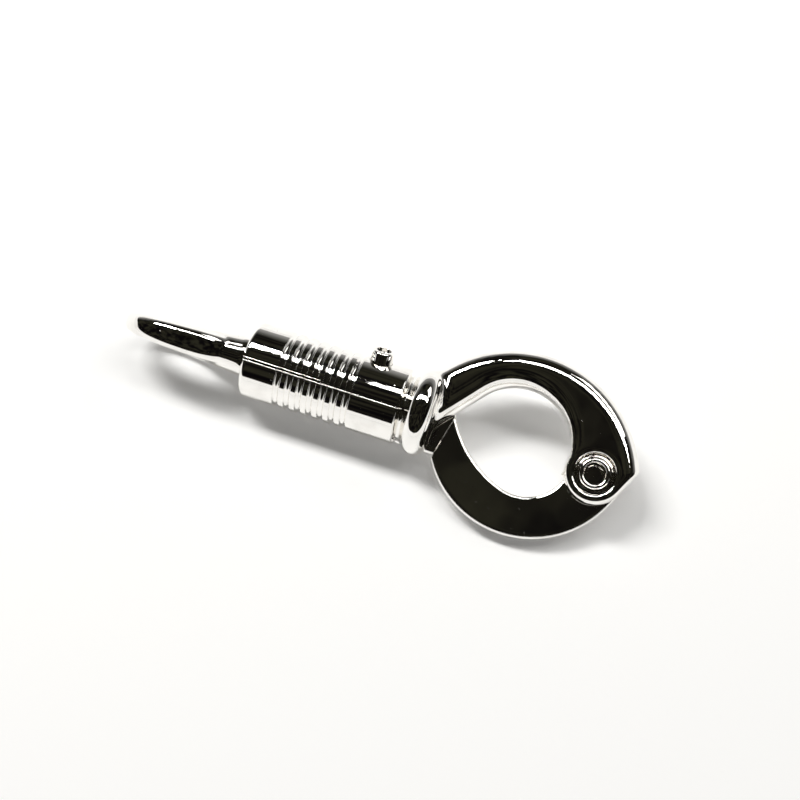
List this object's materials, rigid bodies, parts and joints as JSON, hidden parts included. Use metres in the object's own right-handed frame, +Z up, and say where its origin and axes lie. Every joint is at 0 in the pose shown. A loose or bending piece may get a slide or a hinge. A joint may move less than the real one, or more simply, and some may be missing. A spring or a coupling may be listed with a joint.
{
  "type": "panic snap",
  "caption": "Quick-release snap hook: a ring with a riveted swinging gate, locked by a grooved sprung sleeve on a round shank, with a swivel eye at the rear.",
  "frame": {"origin": "centre of the hook's opening, on the snap's axis, with the snap lying on its side as it comes to rest", "axes": "+X along the snap from the eye to the hook's tip, +Z up from the surface that it lies on, +Y towards the arm's side of the ring"},
  "size_m": [0.1105, 0.0358, 0.0182],
  "materials": {
    "plated_metal": "bright nickel plate over cast metal",
    "spring_steel": "drawn wire"
  },
  "bodies": {
    "hook": {"hook_body": "plated_metal", "gate_rivet": "plated_metal", "return_spring": "spring_steel"},
    "gate": {"gate": "plated_metal"},
    "sleeve": {"sleeve": "plated_metal", "sleeve_pin": "plated_metal"},
    "eye": {"swivel_eye": "plated_metal"}
  },
  "joints": [
    {"name": "sleeve_slide", "type": "slide", "parent": "hook", "child": "sleeve", "axis": [-1, 0, 0], "range_m": [0, 0.004], "stiffness_N_per_m": 1500, "springref_m": -0.005, "deforming": ["return_spring"]},
    {"name": "gate_hinge", "type": "hinge", "parent": "hook", "child": "gate", "pos_m": [0.017, -0.00144, -0.00042], "axis": [0, -0.2805, 0.9599], "range_deg": [0, 110]},
    {"name": "eye_swivel", "type": "hinge", "parent": "hook", "child": "eye", "pos_m": [-0.0511, 0, 0], "axis": [1, 0, 0], "continuous": true}
  ]
}
